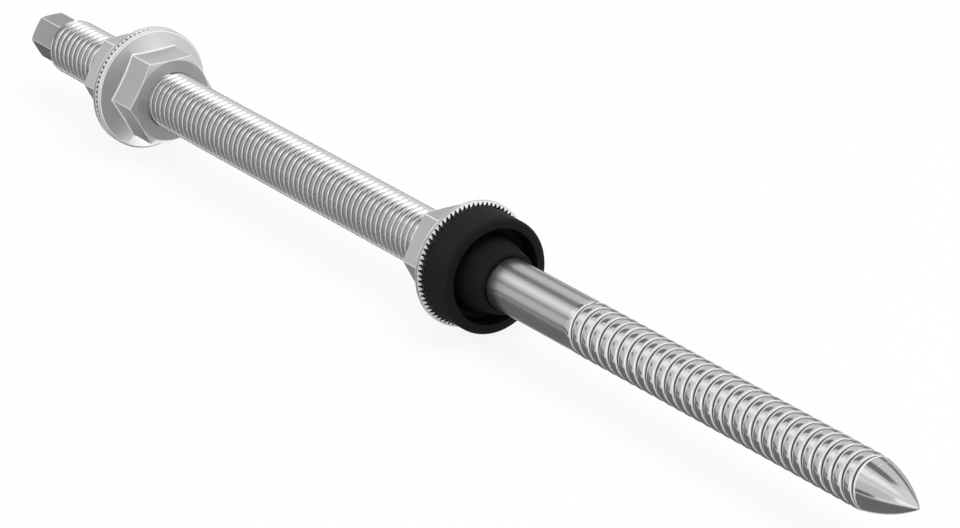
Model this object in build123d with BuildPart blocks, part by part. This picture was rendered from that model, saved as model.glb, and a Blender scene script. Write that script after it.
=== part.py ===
"""Hanger bolt: a double-ended stud with three flange nuts and a rubber sealing ring.

Millimetres. The bolt lies along X with its point towards +X and Z up. The origin is on the
axis, in the plane where the rim of the seal meets the roof.
"""

import os
from math import ceil, cos, radians, sin, sqrt, tan

from build123d import *

# Lengths along the stud
drive_length = 8.6
machine_thread_length = 151.0
shank_length = 40.0
wood_thread_length = 100.4

# Stud sections
thread_radius = 6.0
thread_chamfer_depth = 0.9
thread_chamfer_length = 1.2
drive_across_flats = 8.85
drive_chamfer = 0.5
shank_radius = 5.375

# Wood thread and point
crest_radius = 5.48
crest_allowance = 0.02
groove_depth = 0.8
thread_pitch = 3.0
groove_lead_in = 0.6
groove_overcut = 0.15
cutter_back_share = 1 / 6
point_length = 14.8
point_shoulder_angle = 7.3
point_half_angle = 33.4
nose_length = 1.6
smooth_point_length = 8.9

# Flange nuts
nut_across_flats = 17.8
nut_height = 9.5
corner_chamfer_angle = 15.0
corner_chamfer_inset = 0.15
flange_radius = 13.0
flange_rim_height = 1.35
flange_rim_chamfer = 0.35
flange_face_chamfer = 0.2
flange_slope = 18.0

# Rubber seal
seal_radius = 11.95
seal_length = 7.7
seal_rim_width = 2.1
seal_recess_depth = 4.4
seal_boss_reach = 4.2
seal_boss_end_radius = 6.4
seal_boss_root_radius = 8.2
seal_rim_chamfer = 0.55

# Fits, and where the nuts stand
running_clearance = 0.05
clamp_height = 127.7
clamp_gap = 0.1
seal_gap = 0.2
cut_margin = 0.2

# Places along X
seal_back = -seal_length
lower_nut_face = seal_back - seal_gap
machine_thread_end = seal_back - seal_gap / 2
machine_thread_start = machine_thread_end - machine_thread_length
shank_end = machine_thread_end + shank_length
tip = shank_end + wood_thread_length
point_start = tip - point_length
upper_nut_face = -clamp_height - clamp_gap / 2
middle_nut_face = -clamp_height + clamp_gap / 2


def flange_nut(bearing_face, side):
    """Flange nut whose hexagon stands on the +X or -X side of its bearing face."""
    bore_radius = thread_radius + running_clearance
    corner_radius = nut_across_flats / sqrt(3)
    chamfer_radius = nut_across_flats / 2 - corner_chamfer_inset
    chamfer_drop = (corner_radius - chamfer_radius) * tan(radians(corner_chamfer_angle))
    rim_side_height = flange_rim_height - flange_rim_chamfer
    slope_radius = flange_radius - flange_rim_chamfer
    slope_rise = (slope_radius - bore_radius) * tan(radians(flange_slope))
    face = Plane(origin=(bearing_face, 0, 0), x_dir=(0, 1, 0), z_dir=(side, 0, 0))
    section = Plane(origin=(bearing_face, 0, 0), x_dir=(side, 0, 0), z_dir=(0, -side, 0))

    with BuildPart(face) as nut:
        # Hexagon with its outer corners turned off
        with BuildSketch(face):
            RegularPolygon(radius=nut_across_flats / 2, side_count=6, major_radius=False)
        extrude(amount=nut_height)
        with BuildSketch(section):
            Polygon(
                (0, 0),
                (0, corner_radius + cut_margin),
                (nut_height - chamfer_drop, corner_radius + cut_margin),
                (nut_height - chamfer_drop, corner_radius),
                (nut_height, chamfer_radius),
                (nut_height, 0),
                align=None,
            )
        revolve(axis=Axis.X, mode=Mode.INTERSECT)

        # Sloping flange with its rim edges broken
        with BuildSketch(section):
            Polygon(
                (flange_rim_height + slope_rise, bore_radius),
                (0, bore_radius),
                (0, flange_radius - flange_face_chamfer),
                (flange_face_chamfer, flange_radius),
                (rim_side_height, flange_radius),
                (flange_rim_height, slope_radius),
                align=None,
            )
        revolve(axis=Axis.X)

        # Bore, running free on the thread crests
        with BuildSketch(face):
            Circle(bore_radius)
        extrude(amount=nut_height, mode=Mode.SUBTRACT)
    return nut


def flank_cutter(side):
    """Helical cutter for the flank of the wood thread's groove on its +X or -X side."""
    groove_start = shank_end - groove_lead_in
    turns = ceil((tip - smooth_point_length - groove_start) / thread_pitch)
    root_radius = crest_radius - groove_depth
    cutter_radius = crest_radius + groove_overcut
    flank_reach = thread_pitch / 2 * (cutter_radius - root_radius) / groove_depth
    corners = (
        (0, root_radius),
        (side * flank_reach, cutter_radius),
        (-side * thread_pitch * cutter_back_share, cutter_radius),
    )
    faces = []
    for turn in range(turns):
        turn_start = groove_start + turn * thread_pitch
        edges = [
            Edge.make_helix(
                pitch=thread_pitch,
                height=thread_pitch,
                radius=radius,
                center=(turn_start + place, 0, 0),
                normal=(1, 0, 0),
            )
            for place, radius in corners
        ]
        for edge, neighbour in zip(edges, edges[1:] + edges[:1]):
            faces.append(Face.make_surface_from_curves(edge, neighbour))
        if turn == 0:
            faces.append(Face(Wire.make_polygon([edge @ 0 for edge in edges], close=True)))
    faces.append(Face(Wire.make_polygon([edge @ 1 for edge in edges], close=True)))
    return Solid(Shell(faces))


# Stud: hexagon drive, machine thread, shank, wood thread and ogive point in one piece
with BuildPart() as stud:
    blank_radius = crest_radius + crest_allowance
    nose_start = tip - nose_length
    nose_radius = nose_length * tan(radians(point_half_angle))
    with BuildSketch(Plane.XZ):
        with BuildLine():
            Polyline(
                (tip, 0),
                (machine_thread_start, 0),
                (machine_thread_start, thread_radius - thread_chamfer_depth),
                (machine_thread_start + thread_chamfer_length, thread_radius),
                (machine_thread_end, thread_radius),
                (machine_thread_end, shank_radius),
                (shank_end, shank_radius),
                (shank_end, blank_radius),
                (point_start, blank_radius),
            )
            TangentArc(
                (point_start, blank_radius),
                (nose_start, nose_radius),
                tangent=(cos(radians(point_shoulder_angle)), -sin(radians(point_shoulder_angle))),
            )
            Line((nose_start, nose_radius), (tip, 0))
        make_face()
    revolve(axis=Axis.X)

    # Hexagon drive with its end edges broken
    with BuildSketch(Plane.YZ.offset(machine_thread_start)):
        RegularPolygon(radius=drive_across_flats / 2, side_count=6, major_radius=False)
    extrude(amount=-drive_length)
    chamfer(stud.faces().sort_by(Axis.X)[0].edges(), length=drive_chamfer)

    # Helical V groove of the wood thread. Each flank has its own cutter, so that neighbouring
    # turns never overlap and the flanks meet in a crest; both run out over the point.
    add(flank_cutter(1), mode=Mode.SUBTRACT, clean=False)
    add(flank_cutter(-1), mode=Mode.SUBTRACT, clean=False)

# Rubber seal: a rim and a conical boss with a ring recess between them
with BuildPart() as rubber_seal:
    seal_bore_radius = shank_radius + running_clearance
    rim_inner_radius = seal_radius - seal_rim_width
    with BuildSketch(Plane.XZ):
        Polygon(
            (seal_back, seal_bore_radius),
            (seal_back, seal_radius),
            (-seal_rim_chamfer, seal_radius),
            (0, seal_radius - seal_rim_chamfer),
            (0, rim_inner_radius),
            (-seal_recess_depth, rim_inner_radius),
            (-seal_recess_depth, seal_boss_root_radius),
            (seal_boss_reach, seal_boss_end_radius),
            (seal_boss_reach, seal_bore_radius),
            align=None,
        )
    revolve(axis=Axis.X)

# The nuts: two clamp a bracket between their flanges, the third presses on the seal
upper_flange_nut = flange_nut(upper_nut_face, -1)
middle_flange_nut = flange_nut(middle_nut_face, 1)
lower_flange_nut = flange_nut(lower_nut_face, -1)

stud.part.label = "stud"
upper_flange_nut.part.label = "upper_flange_nut"
middle_flange_nut.part.label = "middle_flange_nut"
lower_flange_nut.part.label = "lower_flange_nut"
rubber_seal.part.label = "rubber_seal"

os.makedirs("parts", exist_ok=True)
export_step(stud.part, "parts/stud.step")
export_step(upper_flange_nut.part, "parts/upper_flange_nut.step")
export_step(middle_flange_nut.part, "parts/middle_flange_nut.step")
export_step(lower_flange_nut.part, "parts/lower_flange_nut.step")
export_step(rubber_seal.part, "parts/rubber_seal.step")
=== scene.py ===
"""Looks for the hanger bolt: rolled threads, serrated nuts, the moulded seal, metals and a studio.

Metres in Blender, millimetres in the shape functions. The bolt lies along X with its point
towards +X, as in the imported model, and its outer sizes are read from that model.
"""

from math import atan2, ceil, cos, pi, radians, sin, sqrt, tan

import bmesh
import bpy
from mathutils import Matrix, Vector


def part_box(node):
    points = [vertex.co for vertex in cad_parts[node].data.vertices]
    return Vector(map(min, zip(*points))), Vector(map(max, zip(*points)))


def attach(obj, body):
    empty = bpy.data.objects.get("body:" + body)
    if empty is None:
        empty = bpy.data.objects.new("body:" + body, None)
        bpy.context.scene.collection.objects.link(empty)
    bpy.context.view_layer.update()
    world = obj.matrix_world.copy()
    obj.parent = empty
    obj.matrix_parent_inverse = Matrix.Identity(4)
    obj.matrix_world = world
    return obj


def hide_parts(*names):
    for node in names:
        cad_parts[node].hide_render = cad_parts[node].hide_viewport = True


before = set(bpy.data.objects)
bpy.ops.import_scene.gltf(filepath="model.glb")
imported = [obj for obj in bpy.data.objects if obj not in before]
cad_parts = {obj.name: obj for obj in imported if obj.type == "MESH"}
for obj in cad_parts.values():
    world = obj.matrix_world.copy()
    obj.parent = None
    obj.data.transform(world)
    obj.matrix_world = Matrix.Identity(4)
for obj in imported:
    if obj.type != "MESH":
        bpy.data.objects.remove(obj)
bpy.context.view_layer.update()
scene = bpy.context.scene
MM = 0.001


def box_mm(node):
    """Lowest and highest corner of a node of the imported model, in millimetres."""
    low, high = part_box(node)
    return low / MM, high / MM


# Outer sizes and places along the bolt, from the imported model
stud_low, stud_high = box_mm("stud")
seal_low, seal_high = box_mm("rubber_seal")
drive_end = stud_low.x
tip = stud_high.x
thread_radius = stud_high.z
flange_radius = box_mm("lower_flange_nut")[1].z
seal_radius = seal_high.z
seal_back = seal_low.x

# Drive. Its edge columns are the degrees from each corner where the mesh gets more columns.
drive_length = 8.6
drive_across_flats = 8.85
drive_end_chamfer = 0.5
drive_chamfer_slope = 0.5
drive_end_round = 0.15
drive_edge_round = 0.12
drive_edge_columns = (0.4, 0.9, 1.6, 2.6)
# Degrees from each corner in which the drive's sides take the painted highlight of its rounded edges
drive_highlight_spread = 0.9
drive_overlap = 0.3

# Shank, and where the threads end
thread_end_gap = 0.1
shank_length = 40.0
shank_radius = 5.375
machine_thread_start = drive_end + drive_length
machine_thread_end = seal_back - thread_end_gap
shank_end = machine_thread_end + shank_length

# Machine thread: right-hand, with a crest at machine_crest_place on the side nearest to the camera.
# Halves and phases are shares of the pitch from the crest's middle.
machine_pitch = 1.75
machine_depth = 1.05
machine_crest_place = tip - 236.02
near_angle = 144.4
machine_crest_half = 0.08
machine_root_start = 0.40
machine_flank_wave = 0.05
machine_flank_phases = (0.13, 0.25, 0.36, 0.42)
start_chamfer_radius = 5.1
start_chamfer_length = 1.2

# Wood thread: right-hand, with a groove's middle at groove_place straight above the axis.
# The groove starts bluntly at thread_start_angle, and the shank rises to the crests around it.
wood_pitch = 3.0
crest_radius = 5.48
groove_depth = 0.8
groove_lead_in = 0.6
groove_place = shank_end - groove_lead_in
upright_angle = 90.0
thread_start_angle = 72.0
thread_start_growth = 14.0
crest_rise_length = 1.0
thread_lead = 1.2
ridge_flat = 0.06
ridge_roundness = 0.6

# Shares of the pitch from the groove's middle: rows of the mesh, and stretches with their own finish,
# painted shade in the root and painted highlights on the shoulders
root_reach = 0.085
rising_shoulder = (root_reach, 0.31)
falling_shoulder = (0.825, 1 - root_reach)
groove_phases = (0.010, 0.025, 0.045, 0.065, root_reach, 0.11, 0.14, 0.175, 0.22, 0.26, 0.31, 0.38)

# Point. From the tip, the thread begins at the smooth length and its own finishes at the plain one.
point_length = 14.8
smooth_point_length = 8.0
plain_finish_length = 12.4
point_rows = 24
shoulder_slope = tan(radians(7.3))
tip_slope = tan(radians(33.4))
point_turn = (point_length * tip_slope - crest_radius) / (tip_slope - shoulder_slope)

# Nuts: hexagon, crown and bore
nut_across_flats = 17.8
nut_height = 9.5
nut_corner_round = 0.26
nut_edge_columns = (0.35, 0.75, 1.25, 2.0)
# Degrees from each corner in which the nut's sides take the painted highlight of its rounded edges
nut_highlight_spread = 0.75
crown_radius = 8.75
crown_slope = tan(radians(15))
crown_round = 0.16
nut_bore = 6.05
bearing_bore_chamfer = 0.05
crown_bore_chamfer = 0.06

# Nuts: flange, whose bearing face is bevelled towards the rim
flange_slope = tan(radians(18))
flange_foot_round = 0.35
flange_rim_height = 1.35
rim_side_drop = 0.38
rim_inset = 0.35
rim_side_round = 0.35
rim_top_round = 0.5
rim_bevel_start = 12.2
rim_bevel_drop = 0.5

# Nuts: ratchet serrations, whose columns are shares of a tooth and whose rows are radii
tooth_count = 72
tooth_depth = 0.6
tooth_lead = 0.4
tooth_start = 9.4
tooth_run_out = 11.9
tooth_end = 12.8
tooth_peak = 0.12
tooth_turn = 2.3
tooth_columns = (0.0, tooth_peak, 0.4, 0.7, 0.97)
tooth_rows = (tooth_start, 11.0, tooth_run_out, 12.05, rim_bevel_start, 12.3, 12.4, 12.5, 12.6, 12.7, 12.85)
# Painted shade on deep tooth faces near the rim, and a painted highlight on the other tooth faces at the
# rim: the shade's start radius and least depth, then the highlight's start radius
groove_shade_start = 11.8
groove_shade_depth = 0.03
rim_highlight_start = 12.0

# Seal
seal_rim_inner = 9.85
seal_rim_draft = 0.1
seal_rim_back_round = 0.35
seal_rim_front_round = 0.85
seal_lip_round = 0.3
seal_recess = -4.4
seal_recess_round = 0.7
seal_boss_root = 8.2
seal_boss_end = 6.4
seal_boss_reach = 4.2
seal_boss_round = 0.35
seal_bore = 5.425
seal_bore_flare = 0.1
seal_bore_chamfer = 0.3

# Meshes: degrees between a flat's columns, rows on a rounded corner, the share of a run that one
# rounding may take, the turns that a helix has below its start, and what counts as one point
flat_step = 5
corner_rows = 3
longest_rounding = 0.48
turns_before = 2
machine_columns = 90
wood_columns = 108
seal_columns = 144
seal_corner_rows = 6
weld_distance = 0.0002 * MM
shortest_edge = 0.000001 * MM


def build_mesh(name, columns, angles, turn_rows=0, head=0, tail=0, loop=False, finish=None):
    """Mesh of a turned or threaded form: one column of (x, r) points for each angle, in millimetres.

    turn_rows is how many rows a helix climbs in one turn; the first head rows and the last tail
    rows belong to plain ends and keep their place. A loop joins each column's end to its start.
    finish gives the number of a face's material from its column and row.
    """
    rows = len(columns[0])
    points = [
        (x * MM, r * cos(radians(angle)) * MM, r * sin(radians(angle)) * MM)
        for column, angle in zip(columns, angles)
        for x, r in column
    ]

    def climbed(row):
        if row < head or row >= rows - tail:
            return row
        return min(row + turn_rows, rows - tail - 1)

    faces = []
    finishes = []
    for here in range(len(columns)):
        there = (here + 1) % len(columns)
        for row in range(rows if loop else rows - 1):
            above = (row + 1) % rows
            beside = (climbed(row), climbed(above)) if there == 0 else (row, above)
            faces.append(
                (
                    here * rows + row,
                    there * rows + beside[0],
                    there * rows + beside[1],
                    here * rows + above,
                )
            )
            finishes.append(finish(here, row) if finish else 0)
    mesh = bpy.data.meshes.new(name)
    mesh.from_pydata(points, [], faces)
    mesh.polygons.foreach_set("material_index", finishes)
    return mesh


def add_piece(name, mesh, body, node, materials, sharp=32):
    """Cleans the mesh, shades it smooth up to the sharp angle and puts it in place of its node."""
    work = bmesh.new()
    work.from_mesh(mesh)
    bmesh.ops.remove_doubles(work, verts=work.verts, dist=weld_distance)
    bmesh.ops.dissolve_degenerate(work, edges=work.edges, dist=shortest_edge)
    bmesh.ops.recalc_face_normals(work, faces=work.faces)
    work.to_mesh(mesh)
    work.free()
    mesh.shade_smooth()
    mesh.set_sharp_from_angle(angle=radians(sharp))
    for material in materials:
        mesh.materials.append(material)
    piece = bpy.data.objects.new(name, mesh)
    scene.collection.objects.link(piece)
    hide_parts(node)
    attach(piece, body)


def softened(corners, steps=corner_rows):
    """Outline with its corners rounded: corners are (x, r, rounding radius) in order."""
    outline = []
    for place, (x, r, rounding) in enumerate(corners):
        if not rounding or place in (0, len(corners) - 1):
            outline.append((x, r))
            continue
        corner = Vector((x, r))
        before = Vector(corners[place - 1][:2]) - corner
        after = Vector(corners[place + 1][:2]) - corner
        turn = pi - before.angle(after)
        reach = rounding * tan(turn / 2)
        reach = min(reach, before.length * longest_rounding, after.length * longest_rounding)
        first = corner + before.normalized() * reach
        last = corner + after.normalized() * reach
        for step in range(steps + 1):
            share = step / steps
            bend = corner * (2 * share * (1 - share))
            point = first * (1 - share) ** 2 + bend + last * share**2
            outline.append((point.x, point.y))
    return outline


def rounded_rows(corners):
    """Rows of a softened outline whose faces lie on a rounded corner."""
    rows = set()
    count = 0
    for place, corner in enumerate(corners):
        if corner[2] and place not in (0, len(corners) - 1):
            rows.update(range(count, count + corner_rows))
            count += corner_rows
        count += 1
    return rows


def hexagon_radius(angle, across_flats, rounding):
    """Radius of a hexagon with rounded corners and a flat facing up, at an angle in degrees."""
    flat = across_flats / 2
    lean = radians((angle % 60) - 30)
    tangent = atan2((flat - rounding) * tan(radians(30)), flat)
    if abs(lean) <= tangent:
        return flat / cos(lean)
    centre = (flat - rounding) / cos(radians(30))
    off = radians(30) - abs(lean)
    return centre * cos(off) + sqrt(max(0, rounding**2 - (centre * sin(off)) ** 2))


def hexagon_angles(edge_columns):
    """Angles of a hexagon's columns: even steps, and closer together at each corner."""
    angles = {float(angle) for angle in range(0, 360, flat_step)}
    for corner in range(0, 360, 60):
        for off in edge_columns:
            angles.add((corner + off) % 360)
            angles.add((corner - off) % 360)
    return sorted(angles)


def on_corner(angles, here, spread):
    """Whether the faces between this column and the next lie on a hexagon's rounded corner."""
    middle = angles[here] + ((angles[(here + 1) % len(angles)] - angles[here]) % 360) / 2
    return abs((middle + 30) % 60 - 30) < spread


def even_angles(count):
    """Angles of evenly spaced columns."""
    return [360 / count * step for step in range(count)]


def mirrored(phases):
    """Phases of the second half of a pitch, from those of the first."""
    return tuple(1 - phase for phase in reversed(phases))


def point_radius(x):
    """Radius of the ogive point at a place x, a parabola tangent to both end slopes."""
    along = x - (tip - point_length)
    if along <= 0:
        return crest_radius
    square = point_length - 2 * point_turn
    share = (sqrt(point_turn**2 + square * min(along, point_length)) - point_turn) / square
    lift = crest_radius - point_turn * shoulder_slope
    return crest_radius * (1 - share) ** 2 + 2 * share * (1 - share) * lift


def machine_thread_radius(x, climb):
    """Radius of the machine thread at x, on the column whose helix has a crest at climb.

    The flanks bend in a slight S, and the thread's start is chamfered.
    """
    phase = (x - climb) / machine_pitch
    off = abs(phase - round(phase))
    fall = (off - machine_crest_half) / (machine_root_start - machine_crest_half)
    fall = min(max(fall, 0), 1)
    groove = fall - machine_flank_wave * sin(2 * pi * fall)
    chamfer = start_chamfer_radius + (thread_radius - start_chamfer_radius) * (
        (x - machine_thread_start) / start_chamfer_length
    )
    return min(thread_radius - machine_depth * groove, chamfer)


def wood_thread_radius(x, climb):
    """Radius of the wood thread at x, on the column whose helix has a groove's middle at climb.

    The ridges are rounded beads between narrow grooves. The groove grows to its depth from its
    blunt start, over a few degrees of its way round the axis.
    """
    phase = (x - climb) / wood_pitch
    groove_middle = climb + wood_pitch * round(phase)
    way_round = (groove_middle - groove_place) / wood_pitch * 360 + upright_angle
    grown = min(max((way_round - thread_start_angle) / thread_start_growth, 0), 1)
    off = abs(phase - round(phase)) * 2
    fall = max(0, (1 - off) - ridge_flat) / (1 - ridge_flat)
    groove = ridge_roundness * fall**2 + (1 - ridge_roundness) * (1 - sqrt(max(0, 1 - fall**2)))
    rise = min(max((x - groove_place) / crest_rise_length + 0.5, 0), 1)
    ungrooved = shank_radius + (crest_radius - shank_radius) * rise
    return min(ungrooved - groove_depth * groove * grown, point_radius(x))


def helix_start(place, angle, pitch, first):
    """Where the helix that passes a place at an angle crosses angle 0, at first or just below it."""
    start = place - pitch * angle / 360
    return start - pitch * ceil((start - first) / pitch)


def threaded_columns(angles, pitch, start, low, high, phases, radius_at, first_ring, last_ring):
    """Columns of points that climb with a thread between the plain ends at low and high.

    radius_at gives the radius at a place x, on the column whose helix starts at climb.
    """
    turns = ceil((high - low) / pitch) + turns_before + 2
    columns = []
    for angle in angles:
        column = list(first_ring)
        climb = start + pitch * (angle / 360 - turns_before)
        for turn in range(turns):
            for phase in phases:
                x = min(max(climb + pitch * (turn + phase), low), high)
                column.append((x, radius_at(x, climb)))
        columns.append(column + list(last_ring))
    return columns


def drive_piece(materials):
    """Drive: a hexagon with broken and rounded edges."""
    side, pale = range(2)
    angles = hexagon_angles(drive_edge_columns)
    end_radius = drive_across_flats / 2 - drive_end_chamfer
    base = machine_thread_start + drive_overlap
    columns = []
    for angle in angles:
        r = hexagon_radius(angle, drive_across_flats, drive_edge_round)
        corners = [
            (drive_end, 0, 0),
            (drive_end, end_radius, drive_end_round),
            (drive_end + (r - end_radius) * drive_chamfer_slope, r, drive_end_round),
            (base, r, 0),
            (base, 0, 0),
        ]
        columns.append(softened(corners))
    edges = rounded_rows(corners)
    side_row = max(edges) + 1

    # Rounded edges and the sides near each corner get a paler steel, a painted highlight
    def finish(here, row):
        at_corner = on_corner(angles, here, drive_highlight_spread) and row == side_row
        return pale if row in edges or at_corner else side

    mesh = build_mesh("drive_hexagon", columns, angles, finish=finish)
    add_piece("drive_hexagon", mesh, "bolt", "stud", materials)


def machine_thread_piece(materials):
    """Machine thread with a painted highlight on its crests and a chamfered start."""
    flank, crest = range(2)
    angles = even_angles(machine_columns)
    phases = (
        -machine_crest_half,
        machine_crest_half,
        *machine_flank_phases,
        *mirrored(machine_flank_phases),
    )
    columns = threaded_columns(
        angles,
        machine_pitch,
        start=helix_start(machine_crest_place, near_angle, machine_pitch, machine_thread_start),
        low=machine_thread_start,
        high=machine_thread_end,
        phases=phases,
        radius_at=machine_thread_radius,
        first_ring=[(machine_thread_start, 0)],
        last_ring=[(machine_thread_end, 0)],
    )

    # Crest rows get a paler steel, a painted highlight
    def finish(here, row):
        return crest if (row - 1) % len(phases) == 0 else flank

    mesh = build_mesh("machine_thread", columns, angles, len(phases), 1, 1, finish=finish)
    add_piece("machine_thread", mesh, "bolt", "stud", materials, sharp=78)


def shank_piece(materials):
    """Shank, wood thread and point."""
    satin, bright, falling, root, rising = range(5)
    angles = even_angles(wood_columns)
    phases = (0, *groove_phases, 0.5, *mirrored(groove_phases))
    thread_low = groove_place - thread_lead
    thread_high = tip - smooth_point_length
    first_ring = [(machine_thread_end, 0), (machine_thread_end, shank_radius)]
    point_places = [
        thread_high + (tip - thread_high) * step / point_rows for step in range(point_rows + 1)
    ]
    columns = threaded_columns(
        angles,
        wood_pitch,
        start=helix_start(groove_place, upright_angle, wood_pitch, thread_low),
        low=thread_low,
        high=thread_high,
        phases=phases,
        radius_at=wood_thread_radius,
        first_ring=first_ring,
        last_ring=[(x, point_radius(x)) for x in point_places],
    )
    start_margin = 0.01

    # Root rows get a dark steel, painted shade; shoulder rows get paler steels, painted highlights
    def finish(here, row):
        if row < len(first_ring):
            return satin
        x = columns[here][row][0]
        if x < thread_low + start_margin or x > tip - plain_finish_length:
            return bright
        step = (row - len(first_ring)) % len(phases)
        middle = (phases[step] + (*phases, 1)[step + 1]) / 2
        if middle < root_reach or middle > 1 - root_reach:
            return root
        if rising_shoulder[0] < middle < rising_shoulder[1]:
            return rising
        return falling if falling_shoulder[0] < middle < falling_shoulder[1] else bright

    mesh = build_mesh(
        "shank_and_wood_thread",
        columns,
        angles,
        len(phases),
        len(first_ring),
        len(point_places),
        finish=finish,
    )
    add_piece("shank_and_wood_thread", mesh, "bolt", "stud", materials, sharp=50)


def nut_piece(name, body, materials):
    """Flange nut with ratchet serrations, standing where its node stands."""
    satin, pale, dark = range(3)
    tooth = 360 / tooth_count
    angles = set(hexagon_angles(nut_edge_columns))
    for count in range(tooth_count):
        for share in tooth_columns:
            angles.add(round((tooth * (count + share) + tooth_turn) % 360, 4))
    angles = sorted(angles)

    # The middle nut's bearing face looks towards the drive, the other two look towards the point
    low, high = box_mm(name)
    side = 1 if name == "middle_flange_nut" else -1
    bearing = low.x if side > 0 else high.x
    bevel = rim_bevel_drop / (flange_radius - rim_bevel_start)
    rim_top_radius = flange_radius - rim_inset
    columns = []
    depths = []
    for angle in angles:
        r = hexagon_radius(angle, nut_across_flats, nut_corner_round)
        foot = flange_rim_height + (rim_top_radius - r) * flange_slope
        crown = nut_height - (r - crown_radius) * crown_slope
        share = ((angle - tooth_turn) / tooth) % 1
        ratchet = min(share / tooth_peak, (1 - share) / (1 - tooth_peak))
        face = []
        depth = []
        for tooth_radius in tooth_rows:
            crest = max(0, (tooth_radius - rim_bevel_start) * bevel)
            run_out = max(0, tooth_radius - tooth_run_out) / (tooth_end - tooth_run_out)
            gap = tooth_depth * max(0, ratchet - run_out)
            face.append((crest + gap, tooth_radius, 0))
            depth.append(gap)
        depths.append(depth)
        before_face = [
            (bearing_bore_chamfer, nut_bore, 0),
            (0.0, nut_bore + bearing_bore_chamfer, 0),
            (0.0, tooth_start - tooth_lead, 0),
        ]
        corners = [
            *before_face,
            *face,
            (rim_bevel_drop, flange_radius, 0),
            (flange_rim_height - rim_side_drop, flange_radius, rim_side_round),
            (flange_rim_height, rim_top_radius, rim_top_round),
            (foot, r, flange_foot_round),
            (crown, r, crown_round),
            (nut_height, crown_radius, crown_round),
            (nut_height, nut_bore + crown_bore_chamfer, 0),
            (nut_height - crown_bore_chamfer, nut_bore, 0),
        ]
        columns.append([(bearing + side * height, radius) for height, radius in softened(corners)])
    edges = rounded_rows(corners)
    first_face = len(before_face)
    last_face = first_face + len(tooth_rows) - 1
    # The hexagon's sides are one row, between the flange's foot and the two roundings of the crown
    side_row = sorted(edges)[-2 * corner_rows - 1] + 1

    # Deep tooth faces near the rim get a near-black steel, painted shade; the other rim tooth faces and the
    # rounded edges get a paler steel, a painted highlight
    def finish(here, row):
        if first_face <= row < last_face:
            step = row - first_face
            there = (here + 1) % len(angles)
            gaps = [depths[column][place] for column in (here, there) for place in (step, step + 1)]
            if sum(gaps) / len(gaps) > groove_shade_depth and tooth_rows[step] > groove_shade_start:
                return dark
            return pale if tooth_rows[step] > rim_highlight_start else satin
        at_corner = on_corner(angles, here, nut_highlight_spread) and row == side_row
        return pale if row in edges or at_corner else satin

    mesh = build_mesh(name + "_dressed", columns, angles, loop=True, finish=finish)
    add_piece(name + "_dressed", mesh, body, name, materials)


def seal_piece(materials):
    """Moulded rubber ring: rim, ring recess and the conical boss round the shank."""
    angles = even_angles(seal_columns)
    boss_bore = (seal_boss_reach, seal_bore + seal_bore_flare, 0)
    corners = [
        boss_bore,
        (seal_back + seal_bore_chamfer, seal_bore, 0),
        (seal_back, seal_bore + seal_bore_chamfer, 0),
        (seal_back, seal_radius, seal_rim_back_round),
        (0, seal_radius, seal_rim_front_round),
        (0, seal_rim_inner, seal_lip_round),
        (seal_recess, seal_rim_inner - seal_rim_draft, seal_recess_round),
        (seal_recess, seal_boss_root, seal_recess_round),
        (seal_boss_reach, seal_boss_end, seal_boss_round),
        boss_bore,
    ]
    outline = softened(corners, seal_corner_rows)[:-1]
    columns = [outline for angle in angles]
    mesh = build_mesh("rubber_seal_dressed", columns, angles, loop=True)
    add_piece(
        "rubber_seal_dressed", mesh, "seal", "rubber_seal", materials, sharp=50
    )


class Shading:
    """A node material with short ways to add nodes and links."""

    def __init__(self, name):
        self.material = bpy.data.materials.new(name)
        self.material.use_nodes = True
        self.tree = self.material.node_tree
        self.shader = self.tree.nodes["Principled BSDF"]
        self.place = self.tree.nodes.new("ShaderNodeTexCoord").outputs["Object"]

    def set(self, socket, value):
        self.shader.inputs[socket].default_value = value

    def link(self, source, socket):
        self.tree.links.new(source, self.shader.inputs[socket])

    def noise(self, scale, detail):
        noise = self.tree.nodes.new("ShaderNodeTexNoise")
        noise.inputs["Scale"].default_value = scale
        noise.inputs["Detail"].default_value = detail
        self.tree.links.new(self.place, noise.inputs["Vector"])
        return noise.outputs["Fac"]

    def tint(self, noise, dark, light):
        mix = self.tree.nodes.new("ShaderNodeMix")
        mix.data_type = "RGBA"
        mix.inputs["A"].default_value = (dark, dark, dark, 1)
        mix.inputs["B"].default_value = (light, light, light, 1)
        self.tree.links.new(noise, mix.inputs["Factor"])
        self.link(mix.outputs["Result"], "Base Color")

    def roughness(self, noise, low, high):
        ramp = self.tree.nodes.new("ShaderNodeMapRange")
        ramp.inputs["To Min"].default_value = low
        ramp.inputs["To Max"].default_value = high
        self.tree.links.new(noise, ramp.inputs["Value"])
        self.link(ramp.outputs["Result"], "Roughness")

    def grain(self, noise, height):
        bump = self.tree.nodes.new("ShaderNodeBump")
        bump.inputs["Distance"].default_value = height * MM
        bump.inputs["Strength"].default_value = 1.0
        self.tree.links.new(noise, bump.inputs["Height"])
        self.link(bump.outputs["Normal"], "Normal")


def metal(name, grey, roughness, spread, grain, grain_height, metallic=1.0):
    """Steel with slightly uneven tone and polish and a fine grain, its height in millimetres."""
    shading = Shading(name)
    shading.set("Metallic", metallic)
    shading.tint(shading.noise(scale=180, detail=4), dark=grey * 0.96, light=grey)
    polish = shading.noise(scale=420, detail=5)
    shading.roughness(polish, low=roughness - spread, high=roughness + spread)
    shading.grain(shading.noise(scale=grain, detail=3), grain_height)
    return shading.material


def rubber(name):
    """Matte black moulded rubber."""
    shading = Shading(name)
    shading.set("Specular IOR Level", 0.12)
    shading.tint(shading.noise(scale=260, detail=4), dark=0.009, light=0.012)
    shading.roughness(shading.noise(scale=700, detail=3), low=0.55, high=0.72)
    shading.grain(shading.noise(scale=2600, detail=2), height=0.02)
    return shading.material


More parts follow.
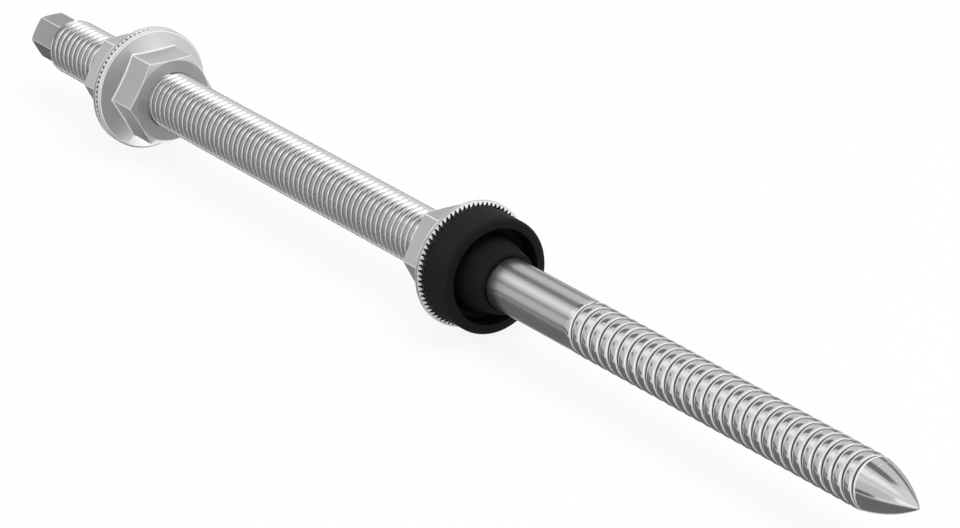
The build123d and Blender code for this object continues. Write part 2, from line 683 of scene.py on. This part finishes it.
# Steels by how they were worked: rolled and turned, and cold-formed; and the grain of the paler and darker
# steels that paint highlights on edges and crests and shade in roots and grooves
rolled = {"spread": 0.03, "grain": 3000, "grain_height": 0.0008}
formed = {"spread": 0.04, "grain": 3600, "grain_height": 0.0015}
painted_finish_grain = {"spread": 0.04, "grain": 3600, "grain_height": 0.0005}
crest_highlight_grain = {"spread": 0.03, "grain": 3000, "grain_height": 0.0005}

bright_steel = metal("bright_steel", grey=0.62, roughness=0.15, **rolled)
# A paler steel that paints a highlight on the wood thread's falling shoulders
painted_edge_highlight = metal("painted_edge_highlight", grey=0.95, roughness=0.45, **painted_finish_grain)
# A dark steel that paints shade in the wood thread's roots
painted_root_shade = metal("painted_root_shade", grey=0.20, roughness=0.30, **painted_finish_grain)
machine_steel = metal("machine_steel", grey=0.64, roughness=0.15, **rolled)
# A paler steel that paints a highlight along the machine thread's crests
painted_crest_highlight = metal("painted_crest_highlight", grey=0.95, roughness=0.14, metallic=0.7, **crest_highlight_grain)
satin_shank = metal("satin_shank", grey=0.57, roughness=0.25, **rolled)
nut_steel = metal("nut_steel", grey=0.62, roughness=0.33, metallic=0.78, **formed)
drive_steel = metal("drive_steel", grey=0.46, roughness=0.36, **formed)
# A paler steel that paints highlights on rounded edges, rim teeth and the wood thread's rising shoulders
painted_highlight = metal("painted_highlight", grey=0.95, roughness=0.5, metallic=0.4, **painted_finish_grain)
# A near-black steel that paints shade in the deep serration grooves
painted_groove_shade = metal("painted_groove_shade", grey=0.05, roughness=0.5, metallic=0.2, **painted_finish_grain)
black_rubber = rubber("black_rubber")

# The pieces, each with its materials in the order of its finish numbers
drive_piece([drive_steel, painted_highlight])
machine_thread_piece([machine_steel, painted_crest_highlight])
shank_piece([satin_shank, bright_steel, painted_edge_highlight, painted_root_shade, painted_highlight])
nut_finishes = [nut_steel, painted_highlight, painted_groove_shade]
nut_piece("upper_flange_nut", "upper_nut", nut_finishes)
nut_piece("middle_flange_nut", "middle_nut", nut_finishes)
nut_piece("lower_flange_nut", "lower_nut", nut_finishes)
seal_piece([black_rubber])

# Camera: the tip's place in the 960 x 528 picture, its depth in millimetres, and the way to the camera
picture_width = 960
picture_height = 528
focal_pixels = 6297.8
sensor_width = 36.0
tip_pixel = (920.08, 509.25)
tip_depth = 1122.5
to_camera = Vector((0.76197, -0.52635, 0.37731)).normalized()


def add_camera():
    """Camera that sees the tip at its pixel and its depth."""
    right = Vector((0, 0, 1)).cross(to_camera).normalized()
    up = to_camera.cross(right)
    tip_right = (tip_pixel[0] - picture_width / 2) / focal_pixels * tip_depth
    tip_down = (tip_pixel[1] - picture_height / 2) / focal_pixels * tip_depth
    place = Vector((tip, 0, 0)) - right * tip_right + up * tip_down + to_camera * tip_depth
    turn = Matrix((right, up, to_camera)).transposed().to_4x4()
    camera = bpy.data.objects.new("camera", bpy.data.cameras.new("camera"))
    scene.collection.objects.link(camera)
    camera.data.sensor_width = sensor_width
    camera.data.lens = focal_pixels / picture_width * sensor_width
    camera.data.clip_start = 0.01
    camera.data.clip_end = 50
    camera.matrix_world = Matrix.Translation(place * MM) @ turn
    scene.camera = camera


def add_world():
    """White to the camera, in reflections and through glass; an even soft light otherwise."""
    world = bpy.data.worlds.new("studio")
    scene.world = world
    world.use_nodes = True
    tree = world.node_tree
    white = tree.nodes["Background"]
    white.inputs["Color"].default_value = (1, 1, 1, 1)
    white.inputs["Strength"].default_value = 1.0
    soft = tree.nodes.new("ShaderNodeBackground")
    soft.inputs["Color"].default_value = (1, 1, 1, 1)
    soft.inputs["Strength"].default_value = 0.6
    rays = tree.nodes.new("ShaderNodeLightPath")
    seen_or_reflected = tree.nodes.new("ShaderNodeMath")
    seen_or_reflected.operation = "MAXIMUM"
    shown = tree.nodes.new("ShaderNodeMath")
    shown.operation = "MAXIMUM"
    mix = tree.nodes.new("ShaderNodeMixShader")
    tree.links.new(rays.outputs["Is Camera Ray"], seen_or_reflected.inputs[0])
    tree.links.new(rays.outputs["Is Glossy Ray"], seen_or_reflected.inputs[1])
    tree.links.new(seen_or_reflected.outputs[0], shown.inputs[0])
    tree.links.new(rays.outputs["Is Transmission Ray"], shown.inputs[1])
    tree.links.new(shown.outputs[0], mix.inputs["Fac"])
    tree.links.new(soft.outputs[0], mix.inputs[1])
    tree.links.new(white.outputs[0], mix.inputs[2])
    tree.links.new(mix.outputs[0], tree.nodes["World Output"].inputs["Surface"])


# Studio, in metres
studio_radius = 2.0
strip_rows = 12
floor_half = 4.0
floor_height = -0.0131


def light_strip(name, around, off_axis, strength):
    """Flag or soft box that only reflections show, a strip of a wide tube around the bolt's axis.

    It spans two angles round the axis and two angles off +X, in degrees.
    """
    points = []
    for step in range(strip_rows + 1):
        angle = radians(around[0] + (around[1] - around[0]) * step / strip_rows)
        for lean in off_axis:
            x = studio_radius / tan(radians(lean))
            points.append((x, studio_radius * cos(angle), studio_radius * sin(angle)))
    faces = [(2 * row, 2 * row + 1, 2 * row + 3, 2 * row + 2) for row in range(strip_rows)]
    mesh = bpy.data.meshes.new(name)
    mesh.from_pydata(points, [], faces)
    strip = bpy.data.objects.new(name, mesh)
    scene.collection.objects.link(strip)
    material = bpy.data.materials.new(name)
    material.use_nodes = True
    tree = material.node_tree
    tree.nodes.clear()
    glow = tree.nodes.new("ShaderNodeEmission")
    glow.inputs["Strength"].default_value = strength
    out = tree.nodes.new("ShaderNodeOutputMaterial")
    tree.links.new(glow.outputs[0], out.inputs["Surface"])
    mesh.materials.append(material)
    strip.visible_camera = False
    strip.visible_diffuse = False
    strip.visible_shadow = False
    strip.visible_transmission = False


def floor_paper():
    """Pale paper that the camera sees nearly white, and that keeps the shadow."""
    material = bpy.data.materials.new("floor")
    material.use_nodes = True
    tree = material.node_tree
    tree.nodes.clear()
    paper = tree.nodes.new("ShaderNodeBsdfDiffuse")
    paper.inputs["Color"].default_value = (0.9, 0.9, 0.9, 1)
    white = tree.nodes.new("ShaderNodeEmission")
    white.inputs["Strength"].default_value = 1.0
    rays = tree.nodes.new("ShaderNodeLightPath")
    white_share = tree.nodes.new("ShaderNodeMath")
    white_share.operation = "MULTIPLY"
    white_share.inputs[1].default_value = 0.9
    blend = tree.nodes.new("ShaderNodeMixShader")
    out = tree.nodes.new("ShaderNodeOutputMaterial")
    tree.links.new(rays.outputs["Is Camera Ray"], white_share.inputs[0])
    tree.links.new(white_share.outputs[0], blend.inputs["Fac"])
    tree.links.new(paper.outputs[0], blend.inputs[1])
    tree.links.new(white.outputs[0], blend.inputs[2])
    tree.links.new(blend.outputs[0], out.inputs["Surface"])
    return material


def add_floor():
    """Floor just under the flanges, which reflections don't show."""
    corners = [
        (-floor_half, -floor_half, floor_height),
        (floor_half, -floor_half, floor_height),
        (floor_half, floor_half, floor_height),
        (-floor_half, floor_half, floor_height),
    ]
    mesh = bpy.data.meshes.new("floor")
    mesh.from_pydata(corners, [], [(0, 1, 2, 3)])
    mesh.materials.append(floor_paper())
    floor = bpy.data.objects.new("floor", mesh)
    scene.collection.objects.link(floor)
    floor.visible_glossy = False


def soft_lamp(name, place, size, power):
    """Area lamp that looks at the middle of the bolt, and that nothing shows or reflects."""
    lamp = bpy.data.objects.new(name, bpy.data.lights.new(name, "AREA"))
    lamp.data.size = size
    lamp.data.energy = power
    lamp.location = place
    lamp.rotation_euler = (-Vector(place)).to_track_quat("-Z", "Y").to_euler()
    lamp.visible_glossy = False
    lamp.visible_camera = False
    scene.collection.objects.link(lamp)


add_camera()
add_world()

# Each strip with its angles round the axis, its angles off +X and its strength
light_strip("horizon", (310, 350), (92, 160), 0.13)
light_strip("soft_front", (350, 371), (92, 150), 0.8)
light_strip("flag_near", (11, 34), (92, 150), 0.28)
light_strip("soft_near", (34, 72), (92, 160), 0.85)
light_strip("flag_top", (74, 99), (92, 160), 0.22)
light_strip("soft_top", (101, 112), (80, 160), 0.9)
light_strip("top_spot", (112, 132), (80, 160), 1.3)
light_strip("soft_top_back", (132, 144), (80, 160), 0.9)
light_strip("flag_back", (145, 157), (120, 156), 0.3)
light_strip("soft_back_far", (157, 190), (82, 160), 0.76)
light_strip("soft_back", (156, 191), (60, 82), 1.45)
light_strip("flag_low", (190, 202), (99, 160), 0.12)
light_strip("ground", (206, 298), (78, 166), 0.2)
light_strip("front", (75, 345), (3, 55), 0.28)
light_strip("key", (28, 58), (36, 54), 2.0)
light_strip("kicker", (285, 335), (55.5, 77), 3.0)

add_floor()
soft_lamp("lamp_above", (0.4, 0.2, 1.6), size=1.2, power=16)

scene.view_settings.view_transform = "Standard"
